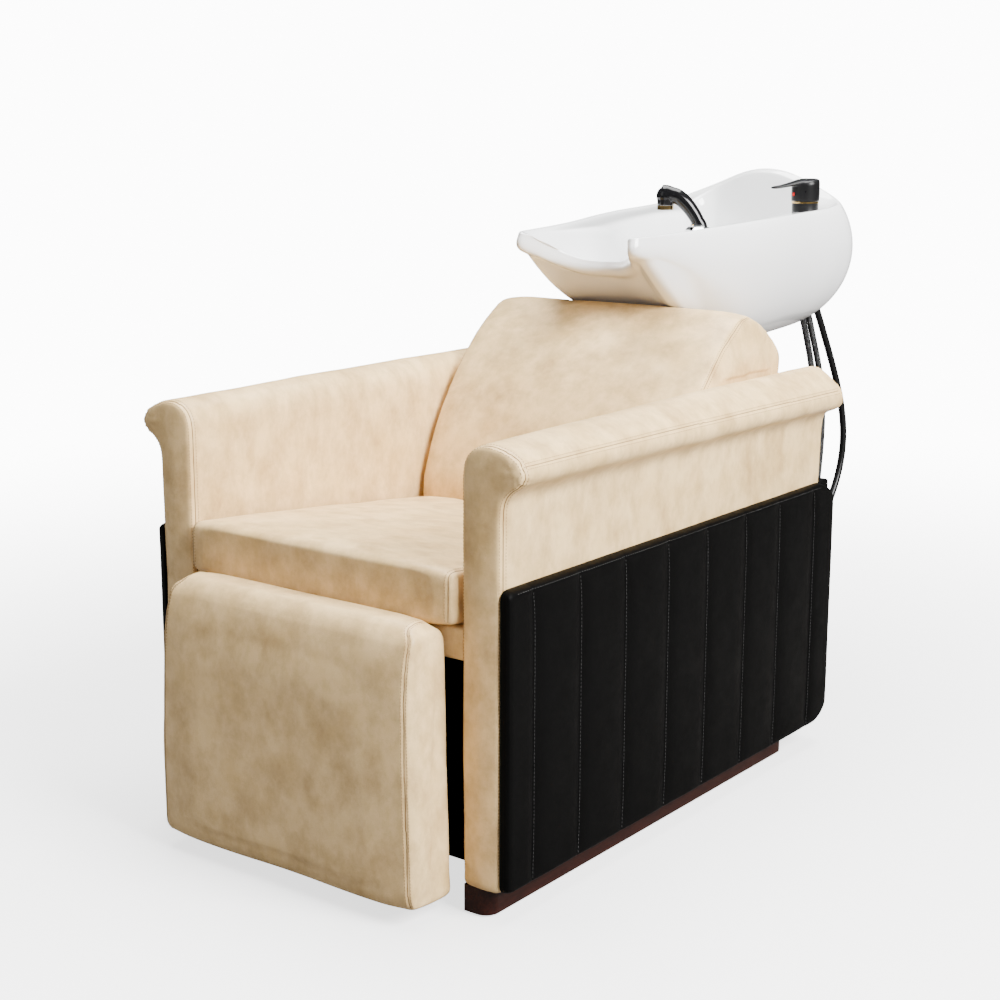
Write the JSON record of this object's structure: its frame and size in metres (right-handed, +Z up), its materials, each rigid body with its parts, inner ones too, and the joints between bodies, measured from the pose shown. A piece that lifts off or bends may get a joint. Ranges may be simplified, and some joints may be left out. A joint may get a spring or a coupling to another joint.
{
  "type": "shampoo backwash unit",
  "caption": "Upholstered salon armchair with a hinged leg rest and a tilting ceramic wash basin on a rear post, with a single-lever mixer and a pull-out hand spray.",
  "frame": {"origin": "on the floor under the middle of the unit, measured without its hoses", "axes": "+Z up; +Y from the leg rest towards the basin; +X towards the side with the mixer and the hand spray, which is the right as seen from in front of the unit"},
  "size_m": [0.7014, 1.392, 0.957],
  "materials": {
    "cream_leatherette": "satin",
    "black_leatherette": "satin",
    "stained_wood": "satin",
    "plywood": "matte",
    "glide_plastic": "matte",
    "coated_steel": "satin",
    "zinc_steel": "satin",
    "white_ceramic": "gloss",
    "chrome": "polished",
    "black_rubber": "matte",
    "hose_rubber": "gloss",
    "hose_braid": "satin",
    "white_plastic": "satin",
    "liner_plastic": "matte",
    "black_gloss": "gloss",
    "black_satin_metal": "satin",
    "gold_trim": "polished",
    "red_index": "gloss",
    "fitting_brass": "satin"
  },
  "bodies": {
    "chair": {"arm_board_left": "plywood", "arm_board_right": "plywood", "arm_left": "cream_leatherette", "arm_right": "cream_leatherette", "back_board": "plywood", "back_cushion": "cream_leatherette", "cross_rails": "plywood", "floor_rail_left": "stained_wood", "floor_rail_right": "stained_wood", "front_rail": "cream_leatherette", "kick_board": "black_leatherette", "leg_hinge_bars": "coated_steel", "post_foot": "coated_steel", "rail_glides": "glide_plastic", "rear_lower_panel": "black_leatherette", "rear_post": "coated_steel", "rear_stile_left": "plywood", "rear_stile_right": "plywood", "rear_upper_panel": "cream_leatherette", "seat_board": "plywood", "seat_cushion": "cream_leatherette", "side_panel_left": "black_leatherette", "side_panel_right": "black_leatherette", "supply_hose_cold": "hose_braid", "supply_hose_hot": "hose_braid", "supply_unions": "fitting_brass", "tie_bars": "coated_steel", "tilt_yoke": "coated_steel"},
    "leg_rest": {"leg_rest_pad": "cream_leatherette", "leg_rest_board": "plywood", "leg_hinge_clevises": "coated_steel", "leg_hinge_pins": "zinc_steel"},
    "basin": {"basin": "white_ceramic", "saddle_pad": "black_rubber", "basin_saddle": "coated_steel", "tilt_pin": "zinc_steel", "saddle_fasteners": "zinc_steel", "waste_flange": "chrome", "waste_gasket": "black_rubber", "waste_nut": "white_plastic", "trap_cup": "white_plastic", "trap_outlet": "white_plastic", "spray_escutcheon": "chrome", "spray_liner": "liner_plastic", "mixer_body": "black_satin_metal", "mixer_washer": "black_rubber", "mixer_ring": "gold_trim", "deck_nuts": "fitting_brass", "mixer_tails": "fitting_brass", "hose_ferrules": "fitting_brass", "shower_hose": "hose_rubber"},
    "strainer": {"strainer": "chrome"},
    "hand_spray": {"spray_collar": "chrome", "spray_handle": "black_gloss", "spray_ring": "gold_trim", "spray_face": "chrome"},
    "mixer_stem": {"mixer_stem": "fitting_brass"},
    "mixer_lever": {"mixer_lever": "black_satin_metal", "mixer_index": "red_index"}
  },
  "joints": [
    {"name": "leg_rest_lift", "type": "hinge", "parent": "chair", "child": "leg_rest", "pos_m": [0, -0.6096, 0.402], "axis": [-1, 0, 0], "range_deg": [0, 88]},
    {"name": "basin_tilt", "type": "hinge", "parent": "chair", "child": "basin", "pos_m": [0, 0.3674, 0.628], "axis": [-1, 0, 0], "range_deg": [0, 15], "deforming": ["supply_hose_hot", "supply_hose_cold", "shower_hose"]},
    {"name": "spray_lift", "type": "slide", "parent": "basin", "child": "hand_spray", "axis": [0, 0, 1], "range_m": [0, 0.15], "deforming": ["shower_hose"]},
    {"name": "mixer_turn", "type": "hinge", "parent": "basin", "child": "mixer_stem", "pos_m": [0.128, 0.5624, 0.9], "axis": [0, 0, 1], "range_deg": [-45, 45]},
    {"name": "mixer_lift", "type": "hinge", "parent": "mixer_stem", "child": "mixer_lever", "pos_m": [0.13974, 0.58447, 0.9034], "axis": [-0.8829, 0.4695, 0], "range_deg": [0, 20]},
    {"name": "strainer_lift", "type": "slide", "parent": "basin", "child": "strainer", "axis": [0, 0, 1], "range_m": [0, 0.03]}
  ]
}
